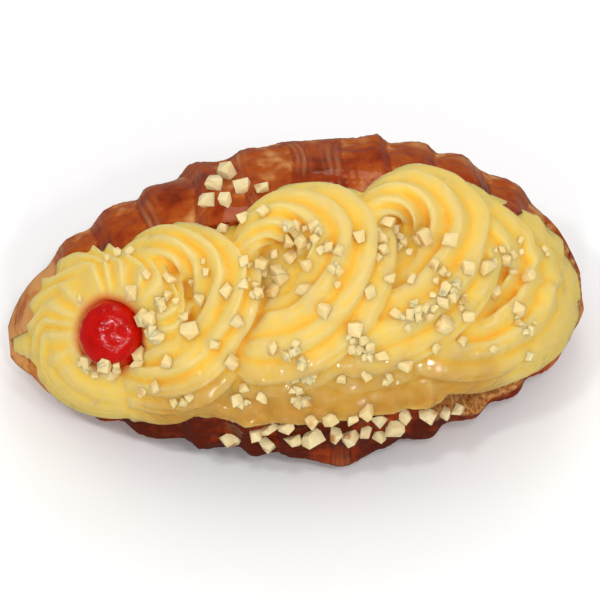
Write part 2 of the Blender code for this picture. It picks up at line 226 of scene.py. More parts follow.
def join(pieces, name):
    """Joins pieces into one."""
    deselect()
    for piece in pieces:
        piece.select_set(True)
    bpy.context.view_layer.objects.active = pieces[0]
    bpy.ops.object.join()
    pieces[0].name = name
    return pieces[0]


def triangles(piece):
    """How many triangles a piece has."""
    return sum(len(face.vertices) - 2 for face in piece.data.polygons)


# %% [markdown]
# ## The baked dough
#
# The dough is a triangle rolled up from its wide side, so the crust shows the edge of each wrap as a step
# that winds round towards the tips. The oven puffs the wraps up, wrinkles the thin crust between them and
# opens the edges of the layers. All this could be sculpted by hand on a smooth body. It is a formula over
# the sheet instead, because the same formula can later tell the finish which points are baked dark.

# %% Sizes of the crust's relief
WRAP_MIDDLE = 6.6 * MM
WRAP_START = 21.5 * MM
WRAP_PITCH = 14 * MM
WRAP_STEP = 2.2 * MM
WRAP_DROP_SHARE = 0.3
WRAP_PLAIN_HALF = 8 * MM
WRAP_FADE = 16 * MM
WRAP_WOBBLE = 0.3
WRAP_WOBBLE_LENGTH = 15 * MM
WRAP_WOBBLE_ANGLE = 40
WAVE_HEIGHT = 1.6 * MM
WAVE_SIZE = 17 * MM
WRINKLE_HEIGHT = 0.75 * MM
WRINKLE_LENGTH = 26 * MM
WRINKLE_WIDTH = 6 * MM
WRINKLE_PATCH = 20 * MM
FLAKE_HEIGHT = 0.25 * MM
FLAKE_LENGTH = 9 * MM
FLAKE_WIDTH = 2.4 * MM
LAYER_COUNT = 9
LAYER_HEIGHT = 0.22 * MM
LAYER_OPEN_AT = 0.86
LAYER_OPEN_REACH = 0.24
LIP_LINES = (235, 200)
LIP_LINE_ANGLE = 3.4
LIP_LINE_DRIFT = 2.5
LIP_LINE_DRIFT_LENGTH = 30 * MM
LIP_LINE_DRIFT_ANGLE = 60
LIP_LINE_PATCH = 18 * MM
LIP_LINE_SHOWN = (1.2, 2.5)
TIP_CALM = 2
print("wraps every", round(WRAP_PITCH / MM, 1), "mm, stepped by", round(WRAP_STEP / MM, 1), "mm")


# %% Wraps, wrinkles and layers
# The plain numbers in the places of the noise only keep one pattern from repeating another.
def wrap_share(x, degrees):
    """Where a point lies on its wrap: 0 at the rolled edge, 1 at the next one."""
    turn = (abs(x - WRAP_MIDDLE) - WRAP_START) / WRAP_PITCH + (degrees - 90) / 360
    turn += WRAP_WOBBLE * noise.noise(Vector((x / WRAP_WOBBLE_LENGTH, degrees / WRAP_WOBBLE_ANGLE, 3)))
    return turn - math.floor(turn)


def ridged(place):
    """Noise with sharp crests, like a crease in a thin crust."""
    return 0.5 - 2 * abs(noise.noise(place))


def layer_lines(x, degrees):
    """The thin edges of the dough's layers, which open where a wrap stretched: 0 to 1, gone on the lip."""
    share = wrap_share(x, degrees)
    opened = smooth(1 - abs(share - LAYER_OPEN_AT) / LAYER_OPEN_REACH)
    lines = opened * (0.5 + 0.5 * math.sin(2 * math.pi * LAYER_COUNT * share))
    return lines * smooth_between(degrees, *LIP_LINES[::-1])


def lip_lines(x, degrees):
    """The dough's layers where they show along the lip: lines round the section, -1 to 1, gone elsewhere."""
    drift = noise.noise(Vector((x / LIP_LINE_DRIFT_LENGTH, degrees / LIP_LINE_DRIFT_ANGLE, 9)))
    patch = noise.noise(Vector((x / LIP_LINE_PATCH, 4, 1)))
    shown = smooth_between(degrees, *LIP_LINES) * smooth(LIP_LINE_SHOWN[0] + LIP_LINE_SHOWN[1] * patch)
    return shown * math.sin(2 * math.pi * (degrees / LIP_LINE_ANGLE + LIP_LINE_DRIFT * drift))


def wrap_relief(x, degrees):
    """How far the rolled dough stands out at x and at that angle round the slice."""
    share = wrap_share(x, degrees)
    rise = share / (1 - WRAP_DROP_SHARE)
    fall = (1 - share) / WRAP_DROP_SHARE
    fade = smooth((abs(x - WRAP_MIDDLE) - WRAP_PLAIN_HALF) / WRAP_FADE)
    around = math.radians(degrees) * HALF_WIDTH
    waves = WAVE_HEIGHT * noise.noise(Vector((x, around, 0)) / WAVE_SIZE)
    wrinkles = WRINKLE_HEIGHT * ridged(Vector((x / WRINKLE_LENGTH, around / WRINKLE_WIDTH, 2)))
    wrinkles *= smooth(0.5 + noise.noise(Vector((x, around, 2 * WRINKLE_PATCH)) / WRINKLE_PATCH))
    flakes = FLAKE_HEIGHT * ridged(Vector((x / FLAKE_WIDTH, around / FLAKE_LENGTH, 5)))
    layers = LAYER_HEIGHT * (layer_lines(x, degrees) + lip_lines(x, degrees))
    step = WRAP_STEP * (smooth(min(rise, fall)) - 0.5) * fade
    return (step + waves + wrinkles + flakes + layers) * smooth(taper(x) * TIP_CALM)


back_relief = [wrap_relief(x * MM, 60) / MM for x in range(-70, 71, 5)]
print("relief along the back from", round(min(back_relief), 2), "to", round(max(back_relief), 2), "mm")

# %% Points of the skin and of the cut
PORE_DEPTH = 1.1 * MM
PORE_SIZE = 2.2 * MM
PORE_SPREAD = 1.5
PORE_START = 12
Bubble = namedtuple("Bubble", "x degrees height size")
BUBBLES = (Bubble(8 * MM, 218, 4 * MM, 8 * MM), Bubble(60 * MM, 452, 3 * MM, 8 * MM))


def bubble_relief(x, degrees):
    """The bubbles in the crust: one under the middle of the lip, one at the lid's right end."""
    total = 0
    for bubble in BUBBLES:
        aside = (x - bubble.x) / bubble.size
        around = math.radians(degrees - bubble.degrees) * HALF_WIDTH / bubble.size
        total += bubble.height * math.exp(-(aside**2) - around**2)
    return total


def skin_point(x, degrees):
    """A point of the crust, flat underneath where the croissant rests."""
    half_width, half_height, centre_y, centre_z = section_at(x)
    relief = wrap_relief(x, degrees) + bubble_relief(x, degrees)
    across = math.cos(math.radians(degrees))
    upward = math.sin(math.radians(degrees))
    if upward < 0:
        across = math.copysign(abs(across) ** BASE_SQUARENESS, across)
        upward = -(abs(upward) ** BASE_SQUARENESS)
    y = centre_y + (half_width + relief) * across
    z = centre_z + (half_height + relief) * upward
    return Vector((x, y, max(z, 0)))


def cut_bottom(x):
    """The line where the two cut faces meet inside the croissant."""
    size = taper(x)
    _, _, centre_y, centre_z = section_at(x)
    return Vector((x, centre_y + CUT_DEPTH[0] * size, centre_z + CUT_DEPTH[1] * size))


def crumb(point, depth_share):
    """The open crumb of a cut face: pores pull the face inwards, least at the crust."""
    nearest = noise.voronoi(point / PORE_SIZE)[0]
    pore = smooth(1 - nearest[0] * PORE_SPREAD)
    return point - OPENING_OUT * PORE_DEPTH * pore * smooth(depth_share * PORE_START)


print("the crust's top in the middle is", round(skin_point(0, 90).z / MM, 1), "mm up")

# %% Roll the dough
CRUST_STATIONS = 370
ARC_STRETCHES = ((0, 64), (0.2, 64), (0.74, 90), (1, 0))
FACE_POINTS = 16
FACE_CROWDING = 1.5
TIP_CROWDING = 0.6


def arc_shares():
    """Shares of the way from the lip's rim to the lid's, closer together where the crust shows."""
    shares = []
    for (first, count), (last, _) in zip(ARC_STRETCHES, ARC_STRETCHES[1:]):
        shares += [first + (last - first) * k / count for k in range(count)]
    return shares + [1]


def crust_ring(x):
    """One slice: from the lip's rim under and behind to the lid's rim, and back along the cut."""
    first, last = lip_rim(x), lid_rim(x) + 360
    ring = [skin_point(x, first + (last - first) * share) for share in ARC_SHARES]
    lip, lid, bottom = ring[0], ring[-1], cut_bottom(x)
    shares = [(k / FACE_POINTS) ** FACE_CROWDING for k in range(1, FACE_POINTS + 1)]
    ring += [crumb(lid.lerp(bottom, share), share) for share in shares]
    ring += [crumb(lip.lerp(bottom, share), share) for share in reversed(shares[:-1])]
    return ring


def lengthwise(count):
    """Places from tip to tip, closer together at the tips."""
    places = []
    for k in range(count):
        crowded = -math.cos(math.pi * k / (count - 1))
        even = 2 * k / (count - 1) - 1
        share = TIP_CROWDING * crowded + (1 - TIP_CROWDING) * even
        places.append(HALF_LENGTH * END_SHARE * share)
    return places


ARC_SHARES = arc_shares()
crust = rolled_sheet("crust", [crust_ring(x) for x in lengthwise(CRUST_STATIONS)])
crust.data.shade_smooth()
print("crust has", triangles(crust), "triangles")

# %% [markdown]
# ### What each point of the crust remembers
#
# A material sees where a point is, but not on which wrap it lies or how the oven met it. A painted
# picture could tell it, and so can plain numbers kept at the points, which follow the relief exactly.
# Each point keeps three: whether it is the open edge of a layer, how hard it is baked with a painted sheen
# added, and whether it is crumb instead of crust. The lip is darkest and the tip stays golden. A golden band
# along the top of the back is painted sheen, where light grazes the crust. The torn lower edge on the right
# is crumb.

# %% How hard each point is baked, and its painted sheen
PATCH_SIZES = (22 * MM, 8 * MM)
LIP_BROWN = (255, 215)
LIP_BROWN_ALONG = (76 * MM, 54 * MM)
TIP_GOLDEN = (60 * MM, 80 * MM)
RIGHT_GOLDEN = (10 * MM, 50 * MM)
RIGHT_GOLDEN_SHARE = 0.3
# Where light grazes the top of the back: a golden band of painted sheen.
PAINTED_SHEEN_ANGLE = 400
PAINTED_SHEEN_SPREAD = 16
BakingAndSheen = namedtuple("BakingAndSheen", "plain patch wrap lip golden back")
BAKING_AND_SHEEN = BakingAndSheen(plain=0.5, patch=0.4, wrap=0.25, lip=0.45, golden=0.45, back=0.35)
TORN_EDGE = (24 * MM, 40 * MM)
TORN_ANGLE = 8
TORN_FADE = 4
CUT_START = 0.02
CUT_GROWTH = 20


def write_shares(piece, name, shares):
    """Keeps one number for each point of a piece, for its material."""
    kept = piece.data.attributes.new(name, "FLOAT", "POINT")
    kept.data.foreach_set("value", np.asarray(shares, dtype=np.float32))


def skin_place(point):
    """The angle round its slice at which a point lies, and its depth under the smooth skin as a share."""
    half_width, half_height, centre_y, centre_z = section_at(point.x)
    across, upward = (point.y - centre_y) / half_width, (point.z - centre_z) / half_height
    degrees = math.degrees(math.atan2(upward, across)) % 360
    if degrees < lid_rim(point.x):
        degrees += 360
    return degrees, 1 - math.hypot(upward, across)


def baked_and_sheen_shares(piece):
    """Each point's layer edge, baking with a painted sheen, and how much it is cut or torn crumb."""
    layers, baked_and_sheen, cut = [], [], []
    for vertex in piece.data.vertices:
        x = vertex.co.x
        degrees, depth = skin_place(vertex.co)
        layers.append(layer_lines(x, degrees))
        patch = noise.noise(vertex.co / PATCH_SIZES[0]) + 0.5 * noise.noise(vertex.co / PATCH_SIZES[1])
        lip = smooth_between(degrees, *LIP_BROWN) * smooth_between(abs(x), *LIP_BROWN_ALONG)
        golden = smooth_between(-x, *TIP_GOLDEN) + RIGHT_GOLDEN_SHARE * smooth_between(x, *RIGHT_GOLDEN)
        # A painted sheen: golden along the top of the back, where light grazes the crust.
        back = math.exp(-(((degrees - PAINTED_SHEEN_ANGLE) / PAINTED_SHEEN_SPREAD) ** 2)) * smooth(0.5 + 2 * patch)
        hard = BAKING_AND_SHEEN.plain + BAKING_AND_SHEEN.patch * patch + BAKING_AND_SHEEN.wrap * (wrap_share(x, degrees) - 0.5)
        baked_and_sheen.append(hard + BAKING_AND_SHEEN.lip * lip - BAKING_AND_SHEEN.golden * golden - BAKING_AND_SHEEN.back * back)
        below_rim = lip_rim(x) + TORN_ANGLE * (1 + patch) - degrees
        torn = smooth_between(x, *TORN_EDGE) * smooth(below_rim / TORN_FADE)
        inside = degrees < lip_rim(x) - 1
        cut.append(smooth((depth - CUT_START) * CUT_GROWTH) if inside else torn)
    return layers, baked_and_sheen, cut


for name, shares in zip(("layers", "baked_and_sheen", "cut"), baked_and_sheen_shares(crust)):
    write_shares(crust, name, shares)
    print(name, "from", round(min(shares), 2), "to", round(max(shares), 2))

# %% [markdown]
# ## The piped cream
#
# The custard is one rope from a star nozzle. The baker starts at the plain tip and lays swirl on swirl:
# up to the lid, round and down to the lip, so each swirl lies on the one before. A slice of the rope is
# an oval with ribs. It stands on a ray from the swirl's eye, and the ribs turn round the rope as it is
# laid. A voxel remesh then fuses the swirls into one skin, as soft cream does where it touches.

# %% Sizes of the rope
RIBS = 9
RIB_DEPTH = (0.36, 0.3)
RIB_UNEVENNESS = 0.35
RIB_START = 0.45
RIB_START_DEPTH = 0.3
RIB_EDGE = (0.7, 0.2)
RIB_FADE = (20, -70)
RIB_NOISE_STEP = 7
RIB_NOISE_ANGLE = 35
RIB_NOISE_LENGTH = 10 * MM
CREASE_DEPTH = 0.13
CREASE_WIDTH = 0.4
CREASE_SHOWN = (0.6, 2)
SPIKES = 17
SPIKE_HEIGHT = 3.2 * MM
SPIKE_ANGLES = (55, 30, 0, -40)
SPIKE_EDGE = 0.8
LIP_SHOWN = 4 * MM
LIP_SHOWN_ANGLES = (-35, -75)
TWIST_RATE = 1
TWIST_FADE = 70
CUSP_ANGLE = 28
ROPE_HEIGHT = 13 * MM
ROPE_SINK = 4 * MM
ROPE_WOBBLE = 0.7 * MM
ROPE_WOBBLE_SIZE = 7 * MM
END_POWER = 4
SWIRL_STEP_ANGLE = 2.5
POINTS_PER_RIB = 14
END_ROUNDING = 0.05
FLUTES = 21
FLUTE_DEPTH = 0.28
FLUTE_BEND = 1.5 * 360 / FLUTES
FLUTE_BEND_SHARE = 0.3
FLUTE_DRIFT = 14
FLUTE_DRIFT_ANGLE = 30
FLUTE_EDGE = 0.5
FLUTE_UNEVENNESS = 0.7
FLUTE_NOISE_ANGLE = 20
FLUTE_FADE = (0.4, 0.9)
FLUTE_START = (0.22, 0.345)
ROSETTE_PLACE = (-55.5 * MM, -7 * MM)
ROSETTE_ANGLES = (-4 * 360 / FLUTES, -23 * 360 / FLUTES)
ROPE_START_SHARE = 0.45
ROPE_END_SHARE = 0.65
ROPE_GROWTH = 1 / 3
LEAST_END_SHARE = 0.002
END_GAP_START = 0.5
print("a rope of", RIBS, "ribs and", RIBS * POINTS_PER_RIB, "points round")

# %% Places of the swirls
Swirl = namedtuple(
    "Swirl",
    "x up squash eye start_angle end_angle start_reach side_reach end_reach"
    " side_share end_gap lift twist_end fluted",
    defaults=(10, False),
)
SWIRLS = (
    Swirl(49 * MM, -2.5 * MM, 0.95, 3 * MM, 135, -140, 28 * MM, 36.5 * MM, 44 * MM, 0.6, 0.12, 0),
    Swirl(26 * MM, 13 * MM, 1, 4 * MM, 170, -124, 14 * MM, 36 * MM, 54 * MM, 0.54, 0.12, 1 * MM),
    Swirl(-9 * MM, 9 * MM, 1, 4.5 * MM, 175, -118, 13 * MM, 37 * MM, 42 * MM, 0.52, 0.12, 1.5 * MM),
    Swirl(-40.5 * MM, 4 * MM, 1, 4 * MM, 150, -80, 17 * MM, 29 * MM, 32 * MM, 0.6, 0.2, 1 * MM),
    Swirl(*ROSETTE_PLACE, 1, 7 * MM, -2, -86, 38 * MM, 27 * MM, 27 * MM, 0.9, 0, 2 * MM, -60),
    Swirl(*ROSETTE_PLACE, 1, 7 * MM, *ROSETTE_ANGLES, 25 * MM, 26.5 * MM, 15 * MM, 0.5, 0, 2 * MM, 10, True),
)
PLAIN_END_SWIRL = SWIRLS[0]
ROSETTE = SWIRLS[-1]
for swirl in SWIRLS:
    print("swirl's eye at", round(swirl.x / MM, 1), round(swirl.up / MM, 1), "mm")


# %% Grooves of the rope
def valley(turns, edge):
    """A star nozzle's profile: 0 on a rib, 1 in the groove between two; edge makes the rib sharper."""
    wave = math.pi * turns
    return edge * abs(math.sin(wave)) + (1 - edge) * (1 - abs(math.cos(wave)))


def rib_twist(degrees, twist_end):
    """How far the ribs have turned round the rope: fast over a swirl's top, not at all below."""
    late = min(TWIST_FADE, max(0, twist_end - degrees))
    early = CUSP_ANGLE - max(twist_end, degrees)
    return math.radians(TWIST_RATE * (early + late - late * late / (2 * TWIST_FADE)))


def rib_groove(swirl, share, degrees, k):
    """How deep the k-th point of a slice lies, in the groove between two ribs or in the crease on a rib."""
    settled = smooth_between(degrees, *RIB_FADE)
    grown = RIB_START_DEPTH + (1 - RIB_START_DEPTH) * smooth_between(share, 0, RIB_START)
    depth = RIB_DEPTH[0] + (RIB_DEPTH[1] - RIB_DEPTH[0]) * settled
    edge = RIB_EDGE[0] + (RIB_EDGE[1] - RIB_EDGE[0]) * settled
    rib_step = k // POINTS_PER_RIB * RIB_NOISE_STEP
    uneven = noise.noise(Vector((rib_step, degrees / RIB_NOISE_ANGLE, swirl.x / RIB_NOISE_LENGTH)))
    groove = depth * valley(k / POINTS_PER_RIB, edge) * (1 + RIB_UNEVENNESS * uneven) * grown
    crease = max(0, 1 - abs(math.sin(math.pi * k / POINTS_PER_RIB)) / CREASE_WIDTH)
    return groove + CREASE_DEPTH * crease * smooth(CREASE_SHOWN[0] + CREASE_SHOWN[1] * uneven)


def flute_groove(degrees, across):
    """How deep a point of the rosette lies in its flutes, which bend near the eye and fade at the rim."""
    drift = noise.noise(Vector((degrees / FLUTE_DRIFT_ANGLE, across, 6)))
    bend = FLUTE_BEND * smooth(across / FLUTE_BEND_SHARE) + FLUTE_DRIFT * drift
    uneven = 1 + FLUTE_UNEVENNESS * noise.noise(Vector((degrees / FLUTE_NOISE_ANGLE, 0, 8)))
    groove = valley(FLUTES * (degrees + bend) / 360, FLUTE_EDGE)
    return FLUTE_DEPTH * uneven * groove * (1 - smooth_between(across, *FLUTE_FADE))


# %% One slice of the rope
def rope_edges(swirl, share, degrees):
    """How far the rope's inner and outer edges lie from the swirl's eye."""
    grown = min(1, share / swirl.side_share) ** 2
    outer = swirl.start_reach + (swirl.side_reach - swirl.start_reach) * grown
    late = max(0, share - swirl.side_share) / (1 - swirl.side_share)
    outer += (swirl.end_reach - swirl.side_reach) * late**END_POWER
    if swirl == PLAIN_END_SWIRL:
        first, full, fading, last = SPIKE_ANGLES
        spiky = smooth_between(degrees, first, full) * smooth_between(degrees, last, fading)
        outer += SPIKE_HEIGHT * spiky * (1 - valley(SPIKES * degrees / 360, SPIKE_EDGE))
        outer -= LIP_SHOWN * smooth_between(degrees, *LIP_SHOWN_ANGLES)
    inner = swirl.eye + swirl.end_gap * smooth_between(share, END_GAP_START, 1) * outer
    return inner, outer


def rope_height(share):
    """The rope's height: it swells from a thin start and ends a little lower."""
    start = ROPE_START_SHARE + (1 - ROPE_START_SHARE) * smooth_between(share, 0, ROPE_GROWTH)
    end = 1 - (1 - ROPE_END_SHARE) * smooth_between(share, 1 - ROPE_GROWTH, 1)
    return ROPE_HEIGHT * start * end


def swirl_ring(swirl, share):
    """One ribbed slice of the rope, standing on a ray from the swirl's eye."""
    degrees = swirl.start_angle + (swirl.end_angle - swirl.start_angle) * share
    angle = math.radians(degrees)
    inner, outer = rope_edges(swirl, share, degrees)
    height = rope_height(share)
    end = min(1, max(LEAST_END_SHARE, min(share, 1 - share)) / END_ROUNDING)
    rounding = math.sqrt(1 - (1 - end) ** 2)
    fluted = smooth_between(share, *FLUTE_START) if swirl.fluted else 0
    twist = 0 if swirl.fluted else rib_twist(degrees, swirl.twist_end)
    count = RIBS * POINTS_PER_RIB
    ring = []
    for k in range(count):
        turn = 2 * math.pi * k / count + twist
        rib = rib_groove(swirl, share, degrees, k)
        flute = flute_groove(degrees, 0.5 - 0.5 * math.cos(turn))
        size = (1 - rib - (flute - rib) * fluted) * rounding
        reach = inner + (0.5 + 0.5 * math.cos(turn) * size) * (outer - inner)
        x = swirl.x + reach * math.cos(angle)
        up = swirl.up + reach * math.sin(angle) * swirl.squash
        out = skin_out(x, up) - ROPE_SINK + swirl.lift + height * math.sin(turn) * size
        out += ROPE_WOBBLE * noise.noise(Vector((x, up, swirl.x)) / ROPE_WOBBLE_SIZE)
        ring.append(opening_point(x, up, out))
    return ring


print("one slice has", len(swirl_ring(PLAIN_END_SWIRL, 0.5)), "points")


# %% Lay the swirls
def laid_swirl(swirl):
    """The whole turn of one swirl."""
    steps = math.ceil(abs(swirl.end_angle - swirl.start_angle) / SWIRL_STEP_ANGLE)
    return rolled_sheet("swirl", [swirl_ring(swirl, k / steps) for k in range(steps + 1)])


CORE_STATIONS = 60
CORE_POINTS = 24
CORE_SHARES = (0.82, 0.96, 0.62)
CORE_TIPS = (75 * MM, 30 * MM)
CORE_DEPTH = 4 * MM
CORE_UNDER_LID = 4
SPILL_SHARE = 1.05
SPILL_ANGLE = 2
SPILL_MIDDLE = 2 * MM
SPILL_HALF = 46 * MM
SPILL_FADE = 18 * MM
SPILL_POWER = 3


def core_ring(x):
    """A slice of the cream that fills the cut, out to just under the rope."""
    _, _, centre_y, centre_z = section_at(x)
    centre = Vector((x, centre_y, centre_z))
    steps = CORE_POINTS - 1
    spill = smooth((SPILL_HALF - abs(x - SPILL_MIDDLE)) / SPILL_FADE)
    first, last = lid_rim(x) - CORE_UNDER_LID, LIP_RIM_ANGLE + SPILL_ANGLE * spill
    arc = [skin_point(x, first + (last - first) * k / steps) for k in range(CORE_POINTS)]
    tip_share = CORE_SHARES[0] if x < 0 else CORE_SHARES[2]
    share = tip_share + (CORE_SHARES[1] - tip_share) * smooth((CORE_TIPS[0] - abs(x)) / CORE_TIPS[1])
    rise = (SPILL_SHARE - share) * spill
    reaches = [share + rise * (k / steps) ** SPILL_POWER for k in range(CORE_POINTS)]
    inside = [centre + (point - centre) * reach for point, reach in zip(arc, reaches)]
    return inside + [cut_bottom(x) - OPENING_OUT * CORE_DEPTH * taper(x)]


filling = rolled_sheet("filling", [core_ring(x) for x in lengthwise(CORE_STATIONS)[1:-1]])
swirls = [laid_swirl(swirl) for swirl in SWIRLS]
cream = join([filling, *swirls], "cream_piped")
print("cream before fusing", triangles(cream), "triangles")

# %% [markdown]
# ### One skin
#
# The filling and the six turns still pass through each other. A boolean union could join them, but it is
# slow and fails where ribbed skins graze. A voxel remesh walks round all of them at once and leaves soft
# joints, as wet cream does. It also leaves closed hollows inside, so only what hangs together with the
# outermost point is kept. The mesh is then smoothed a little and thinned.

# %% Fuse the swirls
CREAM_VOXEL = 0.62 * MM
CREAM_TRIANGLES = 190000
SOFTENING_SHARE = 0.5
SOFTENING_ROUNDS = 3


def keep_outer_skin(piece):
    """Deletes the closed hollows that fusing leaves inside, which nobody can see."""
    pick(piece)
    bpy.ops.object.mode_set(mode="EDIT")
    bpy.ops.mesh.select_all(action="DESELECT")
    bpy.ops.object.mode_set(mode="OBJECT")
    max(piece.data.vertices, key=lambda vertex: vertex.co.dot(OPENING_OUT)).select = True
    bpy.ops.object.mode_set(mode="EDIT")
    bpy.ops.mesh.select_linked()
    bpy.ops.mesh.select_all(action="INVERT")
    bpy.ops.mesh.delete(type="VERT")
    bpy.ops.object.mode_set(mode="OBJECT")


apply_modifier(cream, "REMESH", mode="VOXEL", voxel_size=CREAM_VOXEL, use_smooth_shade=True)
print("fused cream has", triangles(cream), "triangles")
keep_outer_skin(cream)
print("its outer skin has", triangles(cream), "triangles")
apply_modifier(cream, "SMOOTH", factor=SOFTENING_SHARE, iterations=SOFTENING_ROUNDS)
apply_modifier(cream, "DECIMATE", ratio=min(1.0, CREAM_TRIANGLES / triangles(cream)))
cream.data.shade_smooth()
print("thinned cream has", triangles(cream), "triangles")

# %% [markdown]
# ### Syrup, lumps and hollows
#
# A clear syrup was brushed on last and ran down, so the low edge of the cream is wet, lumpy and amber.
# The syrup could be a skin of its own, but so thin a skin would cut in and out of the ribs. Here the
# cream swells in soft drips where the syrup stands, and each point keeps how much of it lies there.
#
# Light makes custard glow a deeper yellow in its grooves, and its finish paints that glow. To find them,
# the points are smoothed on paper and the distance from each point to its smoothed place is taken: a few
# rounds find the grooves between the ribs, and many rounds find the hollows between the swirls.

# %% Lumps and the syrup's band
SYRUP_TOP = -15 * MM
SYRUP_BOTTOM = -36 * MM
SYRUP_MIDDLE = 2 * MM
SYRUP_HALF = 58 * MM
SYRUP_FADE = 14 * MM
SYRUP_WANDER = 4 * MM
SYRUP_WANDER_SIZE = 7 * MM
LUMP_HEIGHT = 0.45 * MM
DRIP_HEIGHT = 1.4 * MM
LUMP_SIZE = 4 * MM


def syrup_shares(piece):
    """How much syrup has gathered at each point: it pools on the low edge of the cream."""
    shares = []
    for vertex in piece.data.vertices:
        place = vertex.co - Vector((0, MIDDLE_Y, MIDDLE_Z))
        up = place.dot(OPENING_UP) + SYRUP_WANDER * noise.noise(vertex.co / SYRUP_WANDER_SIZE)
        along = smooth((SYRUP_HALF - abs(place.x - SYRUP_MIDDLE)) / SYRUP_FADE)
        shares.append(smooth_between(up, SYRUP_TOP, SYRUP_BOTTOM) * along)
    return shares


syrup = syrup_shares(cream)
for vertex, share in zip(cream.data.vertices, syrup):
    height = LUMP_HEIGHT + (DRIP_HEIGHT - LUMP_HEIGHT) * share
    vertex.co += OPENING_OUT * height * noise.noise(vertex.co / LUMP_SIZE)
write_shares(cream, "syrup", syrup)
print("syrup on", round(100 * sum(share > 0.5 for share in syrup) / len(syrup)), "percent of the points")


# %% Find the hollows
GROOVE_ROUNDS = 12
GROOVE_DEPTH = 0.5 * MM
HOLLOW_ROUNDS = 90
HOLLOW_DEPTH = 2.5 * MM


def hollow_shares(piece, rounds, depth):
    """How far each point lies under its smoothed surroundings: 1 that deep, -1 that proud."""
    mesh = piece.data
    count = len(mesh.vertices)
    places = np.empty(count * 3)
    mesh.vertices.foreach_get("co", places)
    places = places.reshape(-1, 3)
    normals = np.empty(count * 3)
    mesh.vertices.foreach_get("normal", normals)
    ends = np.empty(len(mesh.edges) * 2, dtype=np.int64)
    mesh.edges.foreach_get("vertices", ends)
    first, second = ends.reshape(-1, 2).T
    near = np.bincount(first, minlength=count) + np.bincount(second, minlength=count)
    soft = places.copy()
    for _ in range(rounds):
        total = [
            np.bincount(first, soft[second, axis], count) + np.bincount(second, soft[first, axis], count)
            for axis in range(3)
        ]
        soft = np.array(total).T / near[:, None]
    return np.clip(((soft - places) * normals.reshape(-1, 3)).sum(axis=1) / depth, -1, 1)


for name, rounds, depth in (
    ("groove", GROOVE_ROUNDS, GROOVE_DEPTH),
    ("hollow", HOLLOW_ROUNDS, HOLLOW_DEPTH),
):
    shares = hollow_shares(cream, rounds, depth)
    write_shares(cream, name, shares)
    print(name, "from", round(shares.min(), 2), "to", round(shares.max(), 2))

# %% [markdown]
# ## The cherry
#
# A candied cherry is a soft ball, a little flattened by its own weight, with a dimple where its stalk was
# and fine wrinkles where the sugar drew the skin in. It could be sculpted, but a ball with a formula over
# its points gives all three in one pass. It is then turned to look out of the opening and sunk into the
# last swirl.

# %% Shape the cherry
CHERRY_RADIUS = 9.9 * MM
CHERRY_SINK = 1 * MM
CHERRY_FLATNESS = 0.88
DIMPLE_DEPTH = 0.22
DIMPLE_WIDTH = 0.35
WRINKLE_SHARE = 0.018
CHERRY_WRINKLE = 3.2 * MM
BULGE_SHARE = 1 / 30
cherry_out = skin_out(ROSETTE.x, ROSETTE.up) + ROPE_HEIGHT - ROPE_SINK - CHERRY_SINK
cherry_centre = opening_point(ROSETTE.x, ROSETTE.up, cherry_out - CHERRY_RADIUS / 2)
deselect()
bpy.ops.mesh.primitive_uv_sphere_add(segments=96, ring_count=64, radius=CHERRY_RADIUS)
cherry = bpy.context.object
cherry.name = "cherry_candied"
for vertex in cherry.data.vertices:
    aside = math.hypot(vertex.co.x, vertex.co.y) / CHERRY_RADIUS
    if vertex.co.z > 0:
        vertex.co.z -= DIMPLE_DEPTH * CHERRY_RADIUS * math.exp(-((aside / DIMPLE_WIDTH) ** 2))
    vertex.co.z *= CHERRY_FLATNESS
    wrinkle = WRINKLE_SHARE * ridged(vertex.co / CHERRY_WRINKLE)
    bulge = BULGE_SHARE * noise.noise(vertex.co / (2 * CHERRY_WRINKLE))
    vertex.co *= 1 + (wrinkle + bulge)
turn = Vector((0, 0, 1)).rotation_difference(OPENING_OUT).to_matrix().to_4x4()
cherry.data.transform(Matrix.Translation(cherry_centre) @ turn)
cherry.data.shade_smooth()
print("cherry at", [round(v / MM, 1) for v in cherry_centre])

# %% [markdown]
# ## Chopped nuts
#
# Chopped nuts are uneven blocks with flat broken faces. One block that is copied would look alike
# everywhere, and particles would leave no mesh. So each nut is the hull of a box's corners,
# moved about at random, with one corner cut off. It falls on the opening from a seeded place and stays
# where it first touches dough, cream or cherry. A small bevel takes off the sharpness.

# %% Places of the nuts
NUT_SIZE = (2.4 * MM, 3.8 * MM)
TRIES_PER_NUT = 30
SEED = 7
NutZone = namedtuple("NutZone", "x up half_x half_up tilt count spacing")
NUT_ZONES = (
    NutZone(-18.5 * MM, 27.5 * MM, 9.5 * MM, 8.5 * MM, -10, 9, 4.4 * MM),
    NutZone(9 * MM, -38.5 * MM, 34 * MM, 4 * MM, 2, 24, 4.2 * MM),
    NutZone(-2 * MM, -6 * MM, 66 * MM, 22 * MM, 4, 56, 6.5 * MM),
)


def nut_places():
    """Seeded places of the nuts over the opening, kept apart, with a size for each."""
    draw = random.Random(SEED)
    places = []
    for zone in NUT_ZONES:
        tilt = math.radians(zone.tilt)
        found = []
        for _ in range(zone.count * TRIES_PER_NUT):
            reach, turn = math.sqrt(draw.random()), draw.uniform(0, 2 * math.pi)
            along, across = reach * math.cos(turn) * zone.half_x, reach * math.sin(turn) * zone.half_up
            x = zone.x + along * math.cos(tilt) - across * math.sin(tilt)
            up = zone.up + along * math.sin(tilt) + across * math.cos(tilt)
            size = draw.uniform(*NUT_SIZE)
            near = [p for p in places + found if math.hypot(p[0] - x, p[1] - up) < zone.spacing]
            if not near and len(found) < zone.count:
                found.append((x, up, size))
        places += found
    return places


print("places for", len(nut_places()), "nuts")

# %% Cut one nut
NUT_CHIP = 0.45
NUT_UNEVENNESS = 0.2
NUT_STRETCH = (0.75, 1.3)


